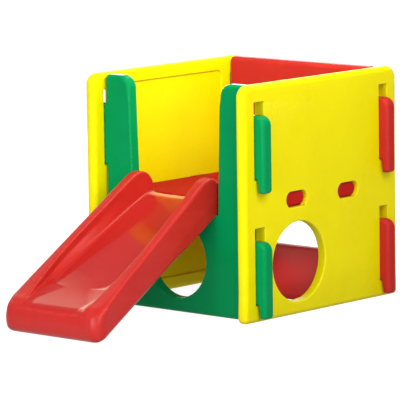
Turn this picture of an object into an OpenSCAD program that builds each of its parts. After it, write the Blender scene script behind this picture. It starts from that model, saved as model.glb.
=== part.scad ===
// Toddler climbing gym: a cube of four moulded walls that hook together,
// a platform held between the side walls, and a slide that hangs on the front wall.
// Millimetres, +Z up. Origin on the floor, at the middle of the overall box.
// -Y is the slide's end, +Y the climbing entrance, +X the right side wall.

/* [Overall] */
// Width over the outer faces of the side walls
gym_w = 768; // [740:2:800]
// Length of the side walls, front to back
wall_len = 862; // [840:2:900]
// Height of the side walls
wall_h = 850; // [840:2:860]

/* [Side walls] */
// Thickness of a side wall at its border
wall_t = 44; // [40:1:48]
// Radius of the side walls' top corners
wall_corner_r = 45; // [40:1:60]
// Depth of the recessed field on the inner face
field_d = 7; // [4:1:10]
// Radius of the crawl hole
hole_r = 145; // [130:1:150]
// Distance of the crawl hole's centre from the front edge
hole_y = 298; // [285:1:310]
// Height of the crawl hole's centre
hole_z = 193; // [190:1:200]

/* [Hook joints] */
// Thickness of the front and back walls and of their hook tabs
panel_t = 50; // [44:1:52]
// Distance from the side walls' ends to the nearer face of the front or back wall
panel_set = 59; // [55:1:65]
// How far a tab stands out from the side wall's outer face
tab_out = 41; // [36:1:46]
// Height of the tab where it fills its slot
neck_h = 230; // [210:1:240]
// How far the tab's lip hangs below its slot
lip_drop = 46; // [40:1:47]
// Free travel above the tab, which lets the lip clear the slot
lift_free = 48; // [48:1:52]
// Height of the lower slots' lower ends
slot_low_z = 60; // [58:1:64]
// Height from a lower slot to the upper one
slot_pitch = 450; // [445:1:452]
// Gap between a tab and its slot on each side
slot_gap = 2; // [1:0.5:3]

/* [Front wall] */
// Height of the front wall's top
front_top = 845; // [835:1:850]
// Half width of the gateway at the wall's top
gate_half_top = 223; // [215:1:228]
// Half width of the gateway at its floor
gate_half_low = 209; // [206:1:212]
// Height of the gateway's floor, which carries the slide
gate_z = 370; // [365:1:375]
// Radius of the post's inner top corner
post_r = 48; // [35:1:60]
// Radius of the front crawl hole
front_hole_r = 143; // [130:1:146]
// Height of the front crawl hole's centre
front_hole_z = 196; // [190:1:200]

/* [Back wall] */
// Half width of the climbing entrance
entry_half = 225; // [200:1:240]
// Height of the entrance's step
entry_sill = 151; // [140:1:170]
// Height of the top rail
rail_h = 112; // [100:1:140]
// Corner radius of the entrance
entry_r = 70; // [40:1:90]
// How far the slope inside the step reaches under the platform
slope_reach = 250; // [150:1:260]
// Half width of that slope
slope_half = 245; // [200:1:250]

/* [Platform] */
// Height of the platform's top
deck_top = 416; // [412:1:416]
// Thickness of the platform
deck_t = 56; // [50:1:60]
// Distance of the platform from the front and back walls
deck_gap_front = 41; // [40:1:50]
// Width of a locking lug
lug_w = 111; // [100:1:114]
// Height of a locking lug's head
lug_h = 55; // [50:1:56]
// Distance of the lugs from the middle of the side wall
lug_y = 144; // [135:1:150]

/* [Slide] */
// How far the slide reaches in front of the side walls
slide_reach = 608; // [598:2:610]
// Half width of the slide where it passes between the posts
slide_half_top = 198; // [196:1:203]
// Half width of the slide at its foot
slide_half_foot = 236; // [225:1:240]
// Height of the bed's crest
crest_z = 420; // [418:1:426]
// Height of the bed at the foot
bed_end_z = 102; // [96:1:103]
// Half width of the bed
bed_half = 138; // [125:1:140]
// How much wider the trough is at the foot than at the crest, on each side
trough_flare = 52; // [40:1:56]
// Height of the upright step under the rails' inner edge
step_h = 30; // [15:1:32]
// Height of the side rails at the upper end
rail_end_z = 506; // [503:1:514]
// Slope of the rails' top edge
rail_slope = 0.66; // [0.65:0.001:0.68]
// Length of the foot's flat underside
foot_flat = 28; // [20:1:40]
// Height of the sides' lower edge where it meets the front wall
under_top = 364; // [360:1:368]

/* [Hidden] */
$fn = 64;
gap = 0.3;
yellow = [0.96, 0.89, 0.06];
green = [0.0, 0.57, 0.32];
red = [0.80, 0.15, 0.16];
// the assembly is laid out from the side walls' front edge and then centred
y_shift = (slide_reach - wall_len) / 2;
xo = gym_w / 2;
xi = xo - wall_t;
y_front = panel_set;
y_back = wall_len - panel_set - panel_t;
panel_half = xi - 1;
slot_w = panel_t + 2 * slot_gap;
slot_h = neck_h + lift_free;
slot_zs = [slot_low_z, slot_low_z + slot_pitch];
pill_w = lug_w + 4;
pill_h = lug_h + 3;
pill_z = deck_top + 4;
pill_d = 26;
bed_end_y = 14 - slide_reach;
crest_y = 60;
rail_y0 = (rail_end_z - 496) / rail_slope;
rail_back = panel_set + panel_t + 1;
step_y = -40;
knee_y = 52 - slide_reach;
knee_z = rail_end_z + rail_slope * (knee_y - rail_y0);

// ---- helpers -------------------------------------------------------------

// extrude a (y, z) outline along +X
module along_x(t) { rotate([90, 0, 90]) linear_extrude(height = t) children(); }
// extrude an (x, z) outline along +Y
module along_y(t) { translate([0, t, 0]) rotate([90, 0, 0]) linear_extrude(height = t) children(); }

// rectangle with separate radii for its upper and lower corners
module soft_rect(w, h, rt, rb) {
    union() {
        translate([rb, 0]) square([w - 2 * rb, rb + 0.01]);
        translate([0, rb]) square([w, h - rb - rt]);
        translate([rt, h - rt - 0.01]) square([w - 2 * rt, rt + 0.01]);
        translate([rb, rb]) circle(r = rb);
        translate([w - rb, rb]) circle(r = rb);
        translate([rt, h - rt]) circle(r = rt);
        translate([w - rt, h - rt]) circle(r = rt);
    }
}

// slab section with half-round ends, centred on its thickness, from 0 to len
module round_end(t, len) {
    translate([-t / 2, t / 2]) square([t, len - t]);
    translate([0, t / 2]) circle(d = t);
    translate([0, len - t / 2]) circle(d = t);
}

// stadium of total width w and height h, centred
module pill(w, h) {
    square([w - h, h], center = true);
    for (s = [-1, 1]) translate([s * (w - h) / 2, 0]) circle(d = h);
}

// what is cut from the corner p to leave a fillet of radius r,
// between the directions a and b (unit vectors leaving the corner)
module corner_cut(p, a, b, r) {
    ang = acos(a * b);
    d = r / tan(ang / 2);
    bis = (a + b) / norm(a + b);
    c = p + bis * (r / sin(ang / 2));
    difference() {
        polygon([p - bis * 0.5, p + a * d, c, p + b * d]);
        translate(c) circle(r = r);
    }
}

// ---- side walls ----------------------------------------------------------

// one side wall, laid out as the right one
module side_wall() {
    dip = 3;
    difference() {
        intersection() {
            // rounded along the top and the foot; the foot is cut flat on the floor
            translate([xo - wall_t / 2, 0, -dip]) along_y(wall_len) round_end(wall_t, wall_h + dip);
            // rounded along the front and back edges
            translate([xo - wall_t / 2, 0, 0]) linear_extrude(height = wall_h + 1) round_end(wall_t, wall_len);
            // side outline with its rounded corners
            translate([xi - 1, 0, 0]) along_x(wall_t + 2) soft_rect(wall_len, wall_h, wall_corner_r, 14);
        }
        // recessed field between the front and back walls, on the inner face
        translate([xi - 1, 150, 50]) along_x(field_d + 1) soft_rect(wall_len - 300, wall_h - 98, 26, 26);
        // hook slots
        for (y = [y_front, y_back], z = slot_zs)
            translate([xi - 2, y - slot_gap, z]) along_x(wall_t + 4) soft_rect(slot_w, slot_h, 1.8 * slot_gap, 1.4 * slot_gap);
        // crawl hole
        translate([xi - 2, hole_y, hole_z]) rotate([0, 90, 0]) cylinder(h = wall_t + 4, r = hole_r);
        // pockets and openings of the platform's lugs
        for (s = [-1, 1]) {
            translate([xo - pill_d, wall_len / 2 + s * lug_y, pill_z]) along_x(pill_d + 2) pill(pill_w, pill_h);
            translate([xi - 2, wall_len / 2 + s * lug_y - pill_w / 2 + 12, pill_z - pill_h / 2]) cube([wall_t, pill_w - 24, 24]);
        }
    }
}

// ---- hook tabs -----------------------------------------------------------

// outline of the upper and lower hook tabs of one side, in (x, z)
module hook_tabs() {
    ro = 35;
    xt = xo + tab_out;
    for (z = slot_zs) {
        z0 = z + gap;
        z1 = z + neck_h;
        translate([panel_half - 30, z0]) square([xt - ro - panel_half + 30, z1 - z0]);
        translate([panel_half - 30, z0]) square([xt - panel_half + 30, z1 - z0 - ro]);
        translate([xt - ro, z1 - ro]) circle(r = ro);
        difference() {
            polygon([[xo + 2, z0 + 1], [xt, z0 + 1], [xt, z - lip_drop], [xo + 12, z - lip_drop]]);
            corner_cut([xt, z - lip_drop], [-1, 0], [0, 1], 12);
        }
    }
}

// ---- front wall ----------------------------------------------------------

module front_wall() {
    k = (gate_half_top - gate_half_low) / (front_top - gate_z);
    up = [k, 1] / norm([k, 1]);
    color(green) translate([0, y_shift + y_front, 0]) {
        along_y(panel_t) difference() {
            translate([-panel_half, 3]) soft_rect(2 * panel_half, front_top - 3, 14, 14);
            // gateway
            polygon([[-gate_half_low, gate_z], [gate_half_low, gate_z],
                     [gate_half_top + k, front_top + 1], [-gate_half_top - k, front_top + 1]]);
            for (s = [-1, 1]) mirror([s < 0 ? 1 : 0, 0])
                corner_cut([gate_half_top, front_top], [1, 0], -up, post_r);
            // crawl hole
            translate([0, front_hole_z]) circle(r = front_hole_r);
        }
        for (s = [0, 1]) mirror([s, 0, 0]) along_y(panel_t) hook_tabs();
    }
}

// ---- back wall -----------------------------------------------------------

module back_wall() {
    color(red) translate([0, y_shift + y_back, 0]) {
        along_y(panel_t) difference() {
            translate([-panel_half, 3]) soft_rect(2 * panel_half, wall_h - 3, 16, 14);
            // climbing entrance between the step and the top rail
            translate([-entry_half, entry_sill])
                soft_rect(2 * entry_half, wall_h - rail_h - entry_sill, entry_r, entry_r);
        }
        for (s = [0, 1]) mirror([s, 0, 0]) along_y(panel_t) hook_tabs();
        // the step's inner side slopes down to the floor
        translate([-slope_half, 0, 0]) along_x(2 * slope_half)
            polygon([[-slope_reach, 3], [10, 3], [10, entry_sill - 8], [0, entry_sill - 8], [-slope_reach, 18]]);
    }
}

// ---- platform ------------------------------------------------------------

module platform() {
    y0 = y_front + panel_t + deck_gap_front;
    y1 = y_back - 5;
    color(red) translate([0, y_shift, 0]) {
        // slab
        translate([-xi + 4, y0, deck_top - deck_t]) linear_extrude(height = deck_t)
            soft_rect(2 * xi - 8, y1 - y0, 20, 20);
        // locking lugs: a tongue through the inner opening, a head turned up in the outer pocket
        for (m = [0, 1]) mirror([m, 0, 0]) for (s = [-1, 1])
            translate([0, wall_len / 2 + s * lug_y, 0]) {
                translate([xi - 20, -lug_w / 2 + 14, pill_z - lug_h / 2]) cube([wall_t, lug_w - 28, 20]);
                translate([xo - pill_d + 2, 0, pill_z]) along_x(15) pill(lug_w, lug_h);
            }
    }
}

// ---- slide ---------------------------------------------------------------

// height of the bed at y, from the crest down to the flatter run-out
function bed_z(y) = let (u = (y - bed_end_y) / (crest_y - bed_end_y))
    bed_end_z + (crest_z - bed_end_z) * (0.73 * u + 0.505 * u * u - 0.235 * u * u * u);

// height of the rail's top at y
function rail_z(y) = min(rail_end_z, rail_end_z + rail_slope * (y - rail_y0));

// (y, z) outline of the space above the bed
module above_bed() {
    n = 20;
    polygon(concat(
        [[-slide_reach - 20, bed_end_z]],
        [for (i = [0 : n]) let (y = bed_end_y + (crest_y - bed_end_y) * i / n) [y, bed_z(y)]],
        [[rail_back + 60, crest_z], [rail_back + 60, rail_end_z + 60], [-slide_reach - 20, rail_end_z + 60]]));
}

// (y, z) outline of the space above the step under the rails, no lower than 2 mm above the bed
module above_step() {
    n = 20;
    polygon(concat(
        [[-slide_reach - 20, bed_end_z + 2]],
        [for (i = [0 : n]) let (y = bed_end_y + (step_y - bed_end_y) * i / n) [y, max(bed_z(y) + 2, rail_z(y) - step_h)]],
        [[step_y, rail_end_z + 60], [-slide_reach - 20, rail_end_z + 60]]));
}

// the space between the rails
module trough() {
    translate([-bed_half, 0, 0]) along_x(2 * bed_half) above_bed();
    // above the step the space widens towards the foot
    w = bed_half + trough_flare;
    intersection() {
        translate([-w - 1, 0, 0]) along_x(2 * w + 2) above_step();
        linear_extrude(height = rail_end_z + 60)
            polygon([[-w - 3, -slide_reach - 20], [w + 3, -slide_reach - 20],
                     [bed_half + 2, crest_y], [-bed_half - 2, crest_y]]);
    }
}

// (y, z) outline of the slide's side, with the hook behind the front wall
module slide_side() {
    yf = -slide_reach;
    yb = rail_back + 36;
    // eased bend of the rail's top
    bend_r = 60;
    turn = atan(rail_slope);
    bend_y = rail_y0 + bend_r * tan(turn / 2);
    bend = [for (i = [0 : 8]) [bend_y - bend_r * sin(turn * i / 8), rail_end_z - bend_r + bend_r * cos(turn * i / 8)]];
    // rounded lip of the foot, below a slope that goes on from the rail's end
    lip_r = 26;
    dip = 14;
    lip_z = knee_z - (knee_y - yf - lip_r) * tan(dip) - lip_r / cos(dip);
    lip = [for (i = [0 : 8]) let (t = 90 + dip + (90 - dip) * i / 8) [yf + lip_r + lip_r * cos(t), lip_z + lip_r * sin(t)]];
    difference() {
        polygon(concat(
            [[yf, 0], [yf + foot_flat, 0], [y_front - 2, under_top], [y_front - 2, gate_z + gap],
             [rail_back, gate_z + gap], [rail_back, gate_z - 35], [yb, gate_z - 35], [yb, crest_z - 1.5],
             [rail_back, crest_z - 1.5], [rail_back, rail_end_z]],
            bend,
            [[knee_y, knee_z]],
            lip));
        // rounded upper end of the rail
        corner_cut([rail_back, rail_end_z], [-1, 0], [0, -1], 40);
        // rounded edges of the foot and of the hook
        corner_cut([yf, 0], [1, 0], [0, 1], 12);
        corner_cut([yb, crest_z - 1.5], [-1, 0], [0, -1], 18);
    }
}

// (x, y) plan of the slide
module slide_plan() {
    yf = -slide_reach;
    k = (slide_half_foot - slide_half_top) / (y_front - yf);
    dir = [-k, 1] / norm([k, 1]);
    difference() {
        polygon([[-slide_half_foot, yf], [slide_half_foot, yf], [slide_half_top, y_front],
                 [slide_half_top, rail_back + 60], [-slide_half_top, rail_back + 60], [-slide_half_top, y_front]]);
        for (s = [0, 1]) mirror([s, 0]) corner_cut([slide_half_foot, yf], [-1, 0], dir, 32);
    }
}

module slide() {
    color(red) translate([0, y_shift, 0]) difference() {
        intersection() {
            translate([-slide_half_foot - 5, 0, 0]) along_x(2 * slide_half_foot + 10) slide_side();
            translate([0, 0, -1]) linear_extrude(height = rail_end_z + 2) slide_plan();
        }
        // bed and the walls along its sides
        trough();
    }
}

module right_side_wall() { color(yellow) translate([0, y_shift, 0]) side_wall(); }
module left_side_wall() { color(yellow) translate([0, y_shift, 0]) mirror([1, 0, 0]) side_wall(); }

left_side_wall();
right_side_wall();
front_wall();
back_wall();
platform();
slide();
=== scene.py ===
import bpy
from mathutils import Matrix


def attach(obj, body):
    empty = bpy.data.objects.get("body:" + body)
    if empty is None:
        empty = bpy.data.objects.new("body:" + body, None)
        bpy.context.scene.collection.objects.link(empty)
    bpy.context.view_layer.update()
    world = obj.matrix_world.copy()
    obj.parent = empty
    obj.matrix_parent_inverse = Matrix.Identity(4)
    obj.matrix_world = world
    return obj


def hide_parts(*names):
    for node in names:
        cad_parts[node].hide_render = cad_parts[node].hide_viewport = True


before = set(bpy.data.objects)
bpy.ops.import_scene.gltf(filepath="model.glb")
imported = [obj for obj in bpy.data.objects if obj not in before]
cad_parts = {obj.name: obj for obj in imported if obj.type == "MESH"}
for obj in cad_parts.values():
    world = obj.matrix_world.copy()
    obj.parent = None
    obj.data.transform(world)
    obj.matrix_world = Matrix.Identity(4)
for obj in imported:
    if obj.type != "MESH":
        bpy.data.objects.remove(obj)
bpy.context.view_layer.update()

import math

import bpy
import numpy as np
from mathutils import Matrix, Vector

# The pieces are described as rounded distance fields in millimetres, in a layout frame:
# X across, Y from the side walls' front edge backwards, Z up from the floor.
# Their surfaces are meshed, and written in metres in the part's own frame.
SHIFT_Y = -127.0
STEP = 3.0


# ---- rounded combinations ------------------------------------------------------

def both(a, b, r):
    """Intersection, with the edge between the two rounded to radius r."""
    return np.minimum(-r, np.maximum(a, b)) + np.sqrt(np.maximum(r + a, 0) ** 2 + np.maximum(r + b, 0) ** 2)


def either(a, b, r):
    """Union, with the inner corner between the two filled to radius r."""
    return np.maximum(r, np.minimum(a, b)) - np.sqrt(np.maximum(r - a, 0) ** 2 + np.maximum(r - b, 0) ** 2)


def without(a, b, r):
    """a with b cut out of it, and the rim rounded to radius r."""
    return both(a, -b, r)


def soft_rect(u, v, u0, u1, v0, v1, r_low, r_high=None):
    """Rectangle with rounded corners; the lower and upper corners may differ."""
    r_high = r_low if r_high is None else r_high
    cu, cv = 0.5 * (u0 + u1), 0.5 * (v0 + v1)
    r = np.where(v > cv, r_high, r_low)
    qu = np.abs(u - cu) - 0.5 * (u1 - u0) + r
    qv = np.abs(v - cv) - 0.5 * (v1 - v0) + r
    return np.minimum(np.maximum(qu, qv), 0) + np.sqrt(np.maximum(qu, 0) ** 2 + np.maximum(qv, 0) ** 2) - r


def disc(u, v, cu, cv, r):
    return np.sqrt((u - cu) ** 2 + (v - cv) ** 2) - r


def smooth_step(a, b, t):
    t = np.clip((t - a) / (b - a), 0, 1)
    return t * t * (3 - 2 * t)


# ---- the pieces ------------------------------------------------------------------

SLOT_Z = (60.0, 510.0)
PILL_Y = (287.0, 575.0)


def side_wall(x, y, z):
    """The right side wall."""
    face = np.abs(x - 362.0) - 22.0
    d = both(soft_rect(y, z, 0, 862, 0, 850, 18, 45), face, 17.0 + 3.5 * smooth_step(30.0, 110.0, z))
    # shallow field on the inner face, with eased borders
    field = both(soft_rect(y, z, 150, 712, 50, 802, 26), x - 347.0, 3.0)
    d = without(d, field, 3.5)
    # crawl hole
    d = without(d, disc(y, z, 298, 193, 145), 6.0)
    # hook slots
    for y0, y1, r in ((57.0, 111.0, 3.0), (756.4, 803.6, 1.5)):
        for z0 in SLOT_Z:
            d = without(d, soft_rect(y, z, y0, y1, z0, z0 + 278, 3.0, 4.0), r)
    # pockets of the platform's lugs, and the openings their tongues pass through
    for yc in PILL_Y:
        pocket = both(soft_rect(y, z, yc - 57.5, yc + 57.5, 391, 449, 28.9), 358.0 - x, 4.0)
        d = without(d, pocket, 3.0)
        d = without(d, soft_rect(y, z, yc - 45.5, yc + 45.5, 391, 415, 2.0), 1.5)
    return d


def hook_tabs(x, z):
    """Outline of the hook tabs on one side, in (|x|, z)."""
    d = None
    for s in SLOT_Z:
        neck = both(x - 425.0, z - (s + 230.0), 35.0)
        neck = np.maximum(np.maximum(neck, s + 0.4 - z), 300.0 - x)
        lip = both(x - 425.0, s - 46.0 - z, 13.0)
        under = np.clip((s + 1.0 - z) / 30.0, 0, 1)
        lip = both(lip, (384.8 + 7.0 * np.sin(1.5708 * under) - x) * 0.88, 7.0)
        lip = np.maximum(lip, z - (s + 70.0))
        tab = np.minimum(neck, lip)
        d = tab if d is None else np.minimum(d, tab)
    return d


def hooked_plate(outline, x, y, z, y_mid, r_plate, end, tab_y, tab_half):
    """A plate of the outline, 50 thick, that fills the space between the side walls, with its hook tabs."""
    depth = np.abs(y - y_mid) - 25.0
    ax = np.abs(x)
    plate = both(both(outline, depth, r_plate), ax - end, 8.0)
    return np.minimum(plate, both(hook_tabs(ax, z), np.abs(y - tab_y) - tab_half, 13.0))


def front_wall(x, y, z):
    ax = np.abs(x)
    gate = (ax - (204.6 + (z - 370.0) * 0.0315)) * 0.9995
    post = both(z - 845.0, -gate, 46.0)
    d = either(post, z - 370.0, 6.0)
    d = both(d, 1.0 - z, 14.0)
    # the gateway's front edges are crisper than its rear and top edges
    edge = np.where(y > 84.0, 17.0, 15.0 - 9.0 * smooth_step(60.0, 140.0, z) * smooth_step(800.0, 750.0, z))
    d = hooked_plate(d, x, y, z, 84.0, edge, 332.0, 84.0, 25.0)
    return without(d, disc(x, z, 0, 196, 143), 7.0)


def back_wall(x, y, z):
    ax = np.abs(x)
    d = soft_rect(x, z, -360, 360, 1, 850, 14)
    d = np.maximum(d, -soft_rect(x, z, -225, 225, 151, 738, 70))
    d = hooked_plate(d, x, y, z, 778.0, 17.0, 334.5, 780.0, 23.0)
    # the step's inner side slopes down to the floor
    slope = both((z - (18.0 + (y - 503.0) * 0.5)) * 0.8944, 503.0 - y, 10.0)
    slope = both(slope, ax - 245.0, 12.0)
    slope = np.maximum(np.maximum(slope, 3.0 - z), y - 775.0)
    slope = np.maximum(slope, z - 141.0)
    return either(d, slope, 8.0)


def platform(x, y, z):
    ax = np.abs(x)
    slab = np.minimum(soft_rect(x, y, -338, 338, 150, 748, 20), soft_rect(x, y, -346, 346, 154, 708, 12))
    d = both(slab, np.abs(z - 388.0) - 28.0, 5.0)
    for yc in PILL_Y:
        tongue = both(soft_rect(y, z, yc - 41.5, yc + 41.5, 392.5, 412.5, 4.0), np.abs(ax - 340.0) - 26.0, 1.0)
        head = both(soft_rect(y, z, yc - 55.0, yc + 53.0, 397.0, 446.5, 24.6), np.abs(ax - 366.5) - 6.5, 6.0)
        d = np.minimum(d, either(tongue, head, 1.5))
    return d


def rail_line(y):
    """Height of the rails' crowns at y."""
    return 490.5 + 0.652 * y


def bed_height(ax, y):
    """Height of the slide's bed: a nearly straight run, an eased crest and a slight dish across the upper end."""
    u = (np.clip(y, -640.0, 90.0) + 594.0) / 654.0
    run = 102.0 + 321.0 * (0.73 * u + 0.505 * u * u - 0.235 * u ** 3)
    k = 16.0
    t = np.maximum(k - np.abs(run - 424.0), 0) / k
    dish = 5.0 * (1.0 - np.minimum(ax / 140.0, 1.0) ** 2) * smooth_step(-320.0, 40.0, y)
    return np.minimum(run, 424.0) - t * t * k * 0.25 - dish


def slide(x, y, z):
    ax = np.abs(x)
    # side view: rails, rounded upper end, eased knee and lip of the foot
    crown = rail_line(y)
    rail = (z - crown) * 0.8377
    foot = (z - (104.5 + 0.25 * (y + 590.0))) * 0.97014
    top = either(rail, foot, 20.0)
    top = both(top, z - 505.0, 16.0)
    top = both(top, y - 106.0, 66.0)
    # plan view: the sides flare towards the foot, and lean inwards towards the crowns
    flare = 196.0 + 40.0 * np.maximum(59.0 - y, 0) / 667.0
    inward = 9.0 * np.clip((z - crown + 100.0) / 100.0, 0, 1.1) * smooth_step(-600.0, -470.0, y)
    nose = 15.0 * np.clip((z - 50.0) / 55.0, -1.1, 1.1) ** 2
    plan = both((ax - flare + inward) * 0.9945, (nose - 608.0 - y) * 0.9, 46.0)
    d = both(top, plan, 13.0 + 13.0 * smooth_step(-470.0, -590.0, y))
    # underside, which stops in front of the front wall, and the part that lies on its gateway
    under = both(-z, (0.57143 * (y + 580.0) - z) * 0.86824, 4.0)
    front = both(under, y - 57.0, 4.0)
    over = 370.5 - z
    d = both(d, np.minimum(front, over), 20.0 - 14.0 * smooth_step(-220.0, -20.0, y))
    # hook behind the front wall
    hook = both(soft_rect(y, z, 100, 146, 335, 414.5, 8, 18), ax - 198.0, 10.0)
    hook = np.maximum(hook, 110.0 - y)
    d = np.minimum(d, hook)
    # trough: the bed, walls that lean outwards, and an upright step under the rails' inner edge
    bed = bed_height(ax, y)
    yc = np.clip(y, -600.0, 60.0)
    wide, narrow = 144.0 + 0.079 * (60.0 - yc), 140.0 + 0.22 * (yc + 590.0)
    blend = np.maximum(50.0 - np.abs(wide - narrow), 0) / 50.0
    half = np.minimum(wide, narrow) - blend * blend * 50.0 * 0.25
    rise = 34.0 - 68.0 * smooth_step(-60.0, -10.0, y)
    ledge = np.maximum(bed + 2.0, np.minimum(crown, 505.0) - rise)
    heel = np.minimum(146.0, half - 5.0)
    run, up = half - heel, ledge - bed
    lean = ((ax - heel) * up - (z - bed) * run) / np.sqrt(run * run + up * up)
    cut = both((bed - z) * 0.9, lean, 11.0)
    cut = both(cut, (ax - half) * 0.996, 3.0)
    return without(d, cut, 10.0 + 2.0 * smooth_step(-420.0, -560.0, y))


# ---- meshing ---------------------------------------------------------------------

def surface_nets(v, lo, h):
    """Quads around the zero level of the samples v, with one vertex in each cell that it crosses."""
    s = v < 0
    n = v.shape
    count = np.zeros([k - 1 for k in n], np.int8)
    corners = [(i, j, k) for i in (0, 1) for j in (0, 1) for k in (0, 1)]
    for i, j, k in corners:
        count += s[i:n[0] - 1 + i, j:n[1] - 1 + j, k:n[2] - 1 + k]
    live = (count > 0) & (count < 8)
    cell = np.argwhere(live)
    index = np.full(live.shape, -1, np.int32)
    index[live] = np.arange(len(cell))
    at = {c: v[cell[:, 0] + c[0], cell[:, 1] + c[1], cell[:, 2] + c[2]].astype(float) for c in corners}
    total, hits = np.zeros((len(cell), 3)), np.zeros(len(cell))
    for c in corners:
        for axis in range(3):
            if c[axis]:
                continue
            e = tuple(1 if i == axis else q for i, q in enumerate(c))
            va, vb = at[c], at[e]
            m = (va < 0) != (vb < 0)
            p = np.tile(np.array(c, float), (int(m.sum()), 1))
            p[:, axis] += va[m] / (va[m] - vb[m])
            total[m] += p
            hits[m] += 1
    points = np.array(lo) + h * (cell + total / hits[:, None])
    quads = []
    for axis in range(3):
        u, w = (axis + 1) % 3, (axis + 2) % 3
        a = tuple(slice(0, -1) if i == axis else slice(None) for i in range(3))
        b = tuple(slice(1, None) if i == axis else slice(None) for i in range(3))
        e = np.argwhere(s[a] != s[b])
        e = e[(e[:, u] > 0) & (e[:, w] > 0) & (e[:, u] < n[u] - 1) & (e[:, w] < n[w] - 1)]
        inside = s[e[:, 0], e[:, 1], e[:, 2]]

        def around(du, dw):
            q = e.copy()
            q[:, u] -= du
            q[:, w] -= dw
            return index[q[:, 0], q[:, 1], q[:, 2]]

        q = np.stack([around(1, 1), around(0, 1), around(0, 0), around(1, 0)], 1)
        q[~inside] = q[~inside][:, ::-1]
        quads.append(q)
    return points, np.concatenate(quads)


def slopes(f, p, e=0.4):
    g = np.empty_like(p)
    for axis in range(3):
        q = p.copy()
        q[:, axis] += e
        a = f(q[:, 0], q[:, 1], q[:, 2])
        q[:, axis] -= 2 * e
        g[:, axis] = (a - f(q[:, 0], q[:, 1], q[:, 2])) / (2 * e)
    return g


def settle(f, p, rounds):
    """Moves points onto the zero level of f."""
    for _ in range(rounds):
        d = f(p[:, 0], p[:, 1], p[:, 2])
        g = slopes(f, p)
        step = np.clip(d / np.maximum((g * g).sum(1), 0.2), -2.0, 2.0)
        p = p - step[:, None] * g
    return p


def bend(f, p, e):
    """Sum of the surface's curvatures at p, per millimetre: positive on outer edges, negative in inner corners."""
    total = -6.0 * f(p[:, 0], p[:, 1], p[:, 2])
    for axis in range(3):
        for k in (-e, e):
            q = p.copy()
            q[:, axis] += k
            total += f(q[:, 0], q[:, 1], q[:, 2])
    return total / (e * e)


def fill_mesh(mesh, points, faces):
    sides = faces.shape[1]
    mesh.vertices.add(len(points))
    mesh.vertices.foreach_set("co", points.astype(np.float32).ravel())
    mesh.loops.add(faces.size)
    mesh.loops.foreach_set("vertex_index", faces.astype(np.int32).ravel())
    mesh.polygons.add(len(faces))
    mesh.polygons.foreach_set("loop_start", np.arange(0, faces.size, sides, dtype=np.int32))
    mesh.update(calc_edges=True)


def mesh_arrays(mesh):
    p = np.empty(len(mesh.vertices) * 3, np.float32)
    mesh.vertices.foreach_get("co", p)
    mesh.calc_loop_triangles()
    t = np.empty(len(mesh.loop_triangles) * 3, np.int32)
    mesh.loop_triangles.foreach_get("vertices", t)
    return p.reshape(-1, 3).astype(float), t.reshape(-1, 3)


def shell(f, lo, hi, h, flats=4000, keep=0.55):
    """Triangles of the surface of f: thinned on the flats, and then a little everywhere."""
    lo = np.array(lo, float) - 2.5 * h
    axes = [np.arange(lo[i], hi[i] + 3.0 * h, h, dtype=np.float32) for i in range(3)]
    v = np.broadcast_to(f(axes[0][:, None, None], axes[1][None, :, None], axes[2][None, None, :]),
                        tuple(len(a) for a in axes)).astype(np.float32)
    points, quads = surface_nets(v, lo, h)
    points = settle(f, points, 3)
    curved = np.abs(bend(f, points, 2.0)) > 0.002
    g = slopes(f, points)
    g /= np.linalg.norm(g, axis=1)[:, None]
    # a vertex is flat only where its neighbours face the same way
    spread = np.zeros(len(points))
    for k in range(4):
        a, b = quads[:, k], quads[:, (k + 1) % 4]
        off = np.linalg.norm(g[a] - g[b], axis=1)
        np.maximum.at(spread, a, off)
        np.maximum.at(spread, b, off)
    flat = ~curved & (spread < 0.01)
    mesh = bpy.data.meshes.new("work")
    fill_mesh(mesh, points, quads)
    work = bpy.data.objects.new("work", mesh)
    bpy.context.scene.collection.objects.link(work)
    group = work.vertex_groups.new(name="flat")
    group.add([int(i) for i in np.flatnonzero(flat)], 1.0, "REPLACE")
    busy = int((~flat[quads].all(1)).sum()) * 2
    thin = work.modifiers.new("thin", "DECIMATE")
    thin.vertex_group = "flat"
    thin.vertex_group_factor = 1000.0
    thin.ratio = min(1.0, (busy + flats) / (2.0 * len(quads)))
    trim = work.modifiers.new("trim", "DECIMATE")
    trim.ratio = keep
    bpy.context.view_layer.update()
    done = bpy.data.meshes.new_from_object(work.evaluated_get(bpy.context.evaluated_depsgraph_get()))
    points, tris = mesh_arrays(done)
    bpy.data.objects.remove(work)
    bpy.data.meshes.remove(mesh)
    bpy.data.meshes.remove(done)
    points = np.clip(settle(f, points, 3), lo + 2.5 * h, hi)
    g = slopes(f, points)
    g /= np.linalg.norm(g, axis=1)[:, None]
    return points, tris, g, bend(f, points, 3.0)


def polish_and_shade(p):
    """1 on the slide's bed, which is rubbed to a gloss and carries painted shade, and 0 on its rails and sides."""
    ax = np.abs(p[:, 0])
    off = np.abs(p[:, 2] - bed_height(ax, p[:, 1]))
    return smooth_step(12.0, 3.0, off) * smooth_step(152.0, 138.0, ax) * smooth_step(-606.0, -590.0, p[:, 1])


def crest(p):
    """1 on the crest between the rails, where a pale highlight is painted on the bed."""
    ax = np.abs(p[:, 0])
    along = smooth_step(56.0, 76.0, p[:, 1]) * smooth_step(150.0, 128.0, p[:, 1])
    return along * smooth_step(140.0, 126.0, ax) * smooth_step(396.0, 404.0, p[:, 2])


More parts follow.
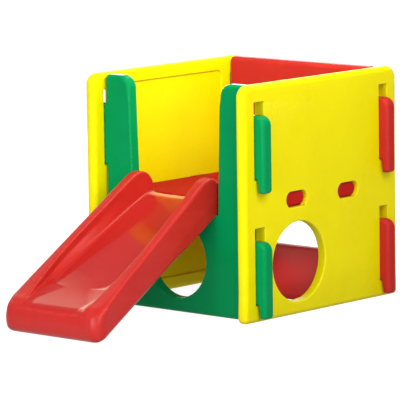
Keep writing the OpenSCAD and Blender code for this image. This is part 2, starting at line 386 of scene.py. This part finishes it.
def piece(name, data, body, node, material, mirror=False, marks=()):
    points, tris, normals, curve = data
    if mirror:
        points, normals, tris = points * [-1, 1, 1], normals * [-1, 1, 1], tris[:, ::-1]
    mesh = bpy.data.meshes.new(name)
    fill_mesh(mesh, (points + [0, SHIFT_Y, 0]) * 0.001, tris)
    mesh.polygons.foreach_set("use_smooth", np.ones(len(tris), bool))
    mesh.normals_split_custom_set_from_vertices([tuple(n) for n in normals])
    # outer edges: partly rubbed wear, partly a painted highlight that lightens them
    wear_and_highlight = mesh.attributes.new("wear_and_highlight", "FLOAT", "POINT")
    wear_and_highlight.data.foreach_set("value", smooth_step(0.03, 0.16, curve).astype(np.float32))
    # painted shade: marks the inner corners, which the material darkens
    corner_shade = mesh.attributes.new("corner_shade", "FLOAT", "POINT")
    corner_shade.data.foreach_set("value", smooth_step(0.02, 0.2, -curve).astype(np.float32))
    for mark in marks:
        mesh.attributes.new(mark.__name__, "FLOAT", "POINT").data.foreach_set("value", mark(points).astype(np.float32))
    mesh.materials.append(material)
    o = bpy.data.objects.new(name, mesh)
    bpy.context.scene.collection.objects.link(o)
    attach(o, body)
    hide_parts(node)
    return o


# ---- materials --------------------------------------------------------------------

def lin(r, g, b):
    return tuple((c / 255 / 12.92) if c / 255 <= 0.04045 else ((c / 255 + 0.055) / 1.055) ** 2.4 for c in (r, g, b)) + (1.0,)


class Nodes:
    def __init__(self, name):
        self.mat = bpy.data.materials.new(name)
        self.mat.use_nodes = True
        self.tree = self.mat.node_tree
        self.tree.nodes.clear()

    def add(self, kind, **values):
        n = self.tree.nodes.new(kind)
        for k, v in values.items():
            setattr(n, k, v)
        return n

    def link(self, a, b):
        self.tree.links.new(a, b)

    def noise(self, vector, scale, detail=2.0, rough=0.5):
        n = self.add("ShaderNodeTexNoise")
        n.inputs["Scale"].default_value = scale
        n.inputs["Detail"].default_value = detail
        n.inputs["Roughness"].default_value = rough
        self.link(vector, n.inputs["Vector"])
        return n.outputs["Fac"]

    def remap(self, value, a, b, c, d):
        n = self.add("ShaderNodeMapRange")
        for i, q in enumerate((a, b, c, d)):
            n.inputs[i + 1].default_value = q
        self.link(value, n.inputs[0])
        return n.outputs[0]

    def math(self, op, a, b):
        n = self.add("ShaderNodeMath", operation=op)
        for i, q in enumerate((a, b)):
            if isinstance(q, (int, float)):
                n.inputs[i].default_value = q
            else:
                self.link(q, n.inputs[i])
        return n.outputs[0]

    def mix(self, fac, a, b):
        n = self.add("ShaderNodeMix", data_type="RGBA")
        self.link(fac, n.inputs[0])
        for i, q in ((6, a), (7, b)):
            if isinstance(q, tuple):
                n.inputs[i].default_value = q
            else:
                self.link(q, n.inputs[i])
        return n.outputs[2]


def plastic(name, base, deep, pale, scuff_and_highlight, rough, specular, floor_shade=0.0, bed=False):
    """Moulded polyethylene: cloudy pigment, a fine grain, an uneven satin gloss, rubbed edges lightened further by a
    painted highlight, painted shade in inner corners, and feet darkened by painted shade.
    """
    m = Nodes(name)
    place = m.add("ShaderNodeTexCoord").outputs["Object"]
    cloud = m.noise(place, 6.0, 3.0, 0.55)
    patch = m.noise(place, 34.0, 3.0, 0.6)
    fleck = m.noise(place, 640.0, 2.0, 0.6)
    colour = m.mix(m.remap(cloud, 0.3, 0.7, 0.0, 1.0), deep, pale)
    colour = m.mix(m.remap(patch, 0.42, 0.62, 0.35, 0.85), colour, base)
    colour = m.mix(m.remap(fleck, 0.62, 0.8, 0.0, 0.06), colour, scuff_and_highlight)
    # outer edges lighter, partly rubbed wear and partly painted highlight; inner corners darker as painted shade
    edge_wear_and_highlight = m.add("ShaderNodeAttribute", attribute_name="wear_and_highlight").outputs["Fac"]
    rub_and_highlight = m.math("MULTIPLY", edge_wear_and_highlight, m.remap(m.noise(place, 90.0, 4.0, 0.7), 0.42, 0.68, 0.0, 0.16))
    colour = m.mix(rub_and_highlight, colour, scuff_and_highlight)
    # painted shade in inner corners, mixed towards the deep colour
    corner_shade = m.add("ShaderNodeAttribute", attribute_name="corner_shade").outputs["Fac"]
    colour = m.mix(m.math("MULTIPLY", corner_shade, 0.35), colour, deep)
    if floor_shade:
        # painted shade near the floor: the lowest hand's width is darker, unevenly
        split = m.add("ShaderNodeSeparateXYZ")
        m.link(place, split.inputs[0])
        low = m.math("ADD", split.outputs[2], m.remap(m.noise(place, 9.0, 4.0, 0.6), 0.3, 0.7, -0.06, 0.06))
        floor_shade_mix = m.remap(low, 0.0, 0.2, floor_shade, 0.0)
        colour = m.mix(floor_shade_mix, colour, tuple(c * 0.45 for c in deep[:3]) + (1.0,))
    gloss = m.math("ADD", m.remap(patch, 0.3, 0.7, rough - 0.04, rough + 0.05), m.math("MULTIPLY", rub_and_highlight, 0.5))
    height = m.math("ADD", m.math("MULTIPLY", m.noise(place, 330.0, 2.0, 0.5), 0.22),
                    m.math("MULTIPLY", m.noise(place, 14.0, 2.0, 0.5), 1.2))
    if bed:
        # fine rub marks that run down the bed
        turn = m.add("ShaderNodeMapping")
        turn.inputs["Scale"].default_value = (260.0, 3.0, 3.0)
        m.link(place, turn.inputs["Vector"])
        mark = m.remap(m.noise(turn.outputs[0], 1.0, 3.0, 0.6), 0.5, 0.8, 0.0, 0.06)
        colour = m.mix(mark, colour, scuff_and_highlight)
        gloss = m.math("ADD", gloss, m.math("MULTIPLY", mark, 0.9))
        bed_gloss_and_shade = m.add("ShaderNodeAttribute", attribute_name="polish_and_shade").outputs["Fac"]
        gloss = m.math("SUBTRACT", gloss, m.math("MULTIPLY", bed_gloss_and_shade, 0.27))
        # painted shade: the bed's colour is pulled towards the deep red to offset the stronger light it gets from
        # above
        colour = m.mix(m.math("MULTIPLY", bed_gloss_and_shade, 0.6), colour, deep)
        # painted highlight: a pale pink band along the crest, a little rougher
        thin = m.add("ShaderNodeAttribute", attribute_name="crest").outputs["Fac"]
        thin = m.math("MULTIPLY", thin, m.remap(m.noise(place, 60.0, 4.0, 0.65), 0.3, 0.55, 0.62, 0.95))
        colour = m.mix(thin, colour, lin(236, 140, 120))
        gloss = m.math("ADD", gloss, m.math("MULTIPLY", thin, 0.15))
    bump = m.add("ShaderNodeBump")
    bump.inputs["Strength"].default_value = 0.3
    bump.inputs["Distance"].default_value = 0.0006
    m.link(height, bump.inputs["Height"])
    shader = m.add("ShaderNodeBsdfPrincipled")
    shader.inputs["Specular IOR Level"].default_value = specular
    shader.inputs["IOR"].default_value = 1.5
    m.link(colour, shader.inputs["Base Color"])
    m.link(gloss, shader.inputs["Roughness"])
    m.link(bump.outputs["Normal"], shader.inputs["Normal"])
    out = m.add("ShaderNodeOutputMaterial")
    m.link(shader.outputs[0], out.inputs["Surface"])
    return m.mat


# the yellow and green are darkened near the floor by painted shade
yellow = plastic("yellow_polyethylene", lin(229, 214, 2), lin(223, 205, 1), lin(232, 219, 4), lin(250, 242, 120), 0.36, 0.04, floor_shade=0.18)
green = plastic("green_polyethylene", lin(0, 135, 75), lin(0, 128, 69), lin(0, 140, 80), lin(90, 185, 140), 0.2, 0.035, floor_shade=0.10)
red = plastic("red_polyethylene", lin(177, 41, 37), lin(170, 36, 33), lin(181, 46, 41), lin(224, 110, 104), 0.36, 0.03)
# painted shade: the deck's red is a darker, rougher copy of the wall red, to offset the stronger light on its
# up-facing top
red_deck_shaded = plastic("red_polyethylene_deck_shaded", lin(178, 27, 26), lin(171, 22, 23), lin(182, 31, 29), lin(214, 84, 78), 0.62, 0.03)
red_slide = plastic("red_polyethylene_slide", lin(178, 32, 28), lin(166, 28, 25), lin(182, 37, 32), lin(220, 112, 102), 0.36, 0.2, bed=True)


# ---- assembly -----------------------------------------------------------------------

wall = shell(side_wall, (340, 0, 0), (384, 862, 850), STEP)
piece("right_side_wall_shell", wall, "frame", "right_side_wall", yellow)
piece("left_side_wall_shell", wall, "frame", "left_side_wall", yellow, mirror=True)
piece("front_wall_shell", shell(front_wall, (-425, 59, 0), (425, 109, 845), STEP), "front_wall", "front_wall", green)
piece("back_wall_shell", shell(back_wall, (-425, 503, 0), (425, 803, 850), STEP), "back_wall", "back_wall", red)
piece("platform_shell", shell(platform, (-376, 150, 360), (376, 748, 448), STEP), "frame", "platform", red_deck_shaded)
piece("slide_shell", shell(slide, (-236, -608, 0), (236, 146, 512), STEP), "slide", "slide", red_slide, marks=(polish_and_shade, crest))


# ---- floor, light and camera -----------------------------------------------------------

ground = bpy.data.meshes.new("floor")
ground.from_pydata([(-40, -40, 0), (40, -40, 0), (40, 60, 0), (-40, 60, 0)], [], [(0, 1, 2, 3)])
floor = bpy.data.objects.new("floor", ground)
bpy.context.scene.collection.objects.link(floor)
pale = Nodes("pale_floor")
pale_shader = pale.add("ShaderNodeBsdfPrincipled")
pale_shader.inputs["Base Color"].default_value = (0.3, 0.3, 0.3, 1)
pale_shader.inputs["Roughness"].default_value = 0.9
pale_shader.inputs["Specular IOR Level"].default_value = 0.0
pale_shader.inputs["Emission Color"].default_value = (1, 1, 1, 1)
pale_shader.inputs["Emission Strength"].default_value = 0.93
pale.link(pale_shader.outputs[0], pale.add("ShaderNodeOutputMaterial").inputs["Surface"])
ground.materials.append(pale.mat)
floor.visible_diffuse = False

scene = bpy.context.scene
world = bpy.data.worlds.new("studio")
world.use_nodes = True
world.node_tree.nodes["Background"].inputs["Color"].default_value = (1, 1, 1, 1)
world.node_tree.nodes["Background"].inputs["Strength"].default_value = 0.4
scene.world = world


def area_light(name, place, target, size, radiance, tint=(1.0, 1.0, 1.0), spread=180.0):
    """A soft box; its power follows from its size, so that its face has the given brightness."""
    light = bpy.data.lights.new(name, "AREA")
    light.shape = "RECTANGLE"
    light.size, light.size_y = size
    light.energy = radiance * math.pi * size[0] * size[1]
    light.color = tint
    light.spread = math.radians(spread)
    o = bpy.data.objects.new(name, light)
    scene.collection.objects.link(o)
    o.location = place
    o.rotation_euler = (Vector(target) - Vector(place)).to_track_quat("-Z", "Y").to_euler()
    o.visible_camera = False
    return o


area_light("side", (2.75, -1.0, 2.8), (0.0, 0.0, 0.5), (2.2, 1.8), 6.2)
area_light("right", (3.2, -1.9, 1.25), (0.3, -0.1, 0.4), (1.8, 1.2), 6.4)
area_light("front", (0.0, -4.0, 1.7), (0.0, 0.0, 0.45), (1.7, 1.8), 8.0)
area_light("front_low", (1.0, -3.3, 0.42), (0.05, 0.0, 0.2), (1.8, 0.7), 7.6)
area_light("inside", (0.30, 0.22, 1.36), (-0.34, 0.30, 0.5), (0.7, 0.5), 7.2, (0.86, 1.0, 0.6))
area_light("left", (-2.55, 0.85, 2.0), (-0.05, -0.5, 0.16), (2.2, 0.9), 1.4, (1.0, 0.95, 0.68))
area_light("left_low", (-2.75, 0.95, 1.75), (-0.05, -0.5, 0.16), (2.4, 0.8), 1.8, (1.0, 0.95, 0.68))
area_light("back", (-3.5, 4.3, 2.0), (0.0, 0.2, 0.8), (4.0, 1.8), 5.0)
area_light("rim", (-0.75, 2.4, 3.2), (0.0, 0.0, 0.5), (1.0, 0.8), 8.0)
area_light("under_deck", (0.05, 0.28, 0.345), (0.05, 0.52, 0.08), (0.3, 0.12), 2.8, spread=75.0)

camera = bpy.data.cameras.new("camera")
camera.sensor_fit = "HORIZONTAL"
camera.sensor_width = 36.0
camera.lens = 333.275
camera.clip_start, camera.clip_end = 0.5, 200.0
camera.shift_y = 0.0012
eye = bpy.data.objects.new("camera", camera)
scene.collection.objects.link(eye)
az, el, roll = math.radians(41.751), math.radians(8.150), math.radians(-0.811)
back = Vector((math.sin(az) * math.cos(el), -math.cos(az) * math.cos(el), math.sin(el)))
right = Vector((math.cos(az), math.sin(az), 0.0))
up = back.cross(right)
right2 = math.cos(roll) * right + math.sin(roll) * up
up2 = math.cos(roll) * up - math.sin(roll) * right
eye.matrix_world = Matrix((
    (right2.x, up2.x, back.x, 8.86603),
    (right2.y, up2.y, back.y, -9.73786 + SHIFT_Y * 0.001),
    (right2.z, up2.z, back.z, 2.29893),
    (0, 0, 0, 1)))
scene.camera = eye
scene.view_settings.view_transform = "Standard"
scene.view_settings.look = "None"
